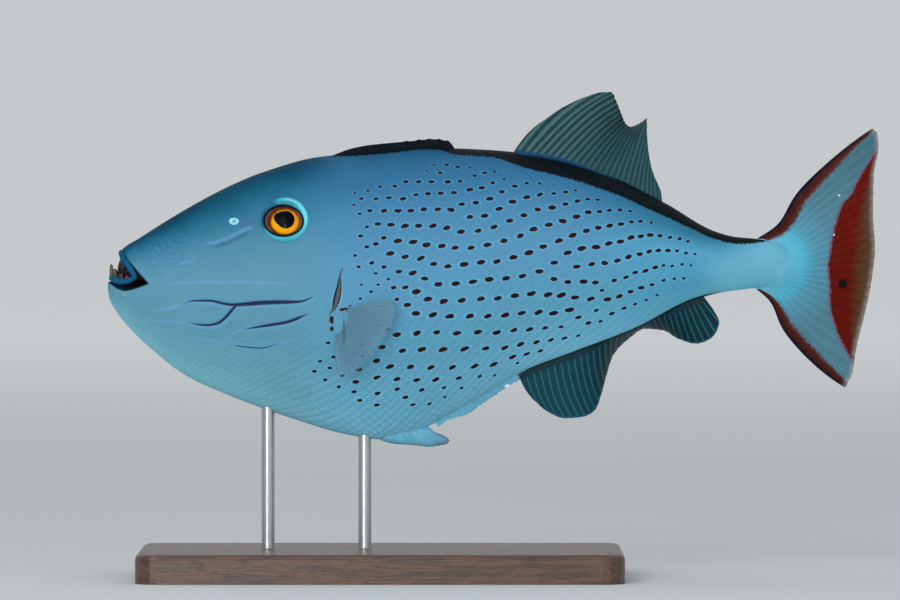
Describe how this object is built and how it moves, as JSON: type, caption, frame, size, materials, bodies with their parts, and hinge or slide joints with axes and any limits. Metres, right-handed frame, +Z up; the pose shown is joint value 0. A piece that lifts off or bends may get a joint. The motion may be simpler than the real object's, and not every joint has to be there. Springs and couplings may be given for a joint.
{
  "type": "sargassum triggerfish",
  "caption": "Life-size still model of a deep-bodied blue reef fish with a small beak-like mouth, spread fins and a wide red tail, held over a flat base by short rods.",
  "frame": {"origin": "on the ground below the middle of the model's box, from the snout to the tail's tips", "axes": "+X from the snout towards the tail, +Y towards the fish's right side, +Z up"},
  "size_m": [0.2389, 0.08, 0.1509],
  "materials": {
    "skin_blue": "satin scaled skin",
    "lip_blue": "satin skin",
    "fin_clear": "thin rayed membrane",
    "fin_black": "rough dark spines",
    "tail_red": "thin rayed membrane",
    "eye_gold": "wet and glossy",
    "stand_wood": "dark satin wood",
    "stand_steel": "brushed"
  },
  "bodies": {
    "root": {"head": "skin_blue", "trunk": "skin_blue", "tail_stalk": "skin_blue", "pelvic_spine": "skin_blue", "ventral_flap": "skin_blue", "upper_jaw": "lip_blue", "lower_jaw": "lip_blue", "eye_left": "eye_gold", "eye_right": "eye_gold", "first_dorsal_fin": "fin_black", "second_dorsal_fin": "fin_clear", "anal_fin": "fin_clear", "pectoral_fin_left": "fin_clear", "pectoral_fin_right": "fin_clear", "caudal_fin": "tail_red", "stand_base": "stand_wood", "stand_rod_front": "stand_steel", "stand_rod_rear": "stand_steel"}
  },
  "joints": []
}
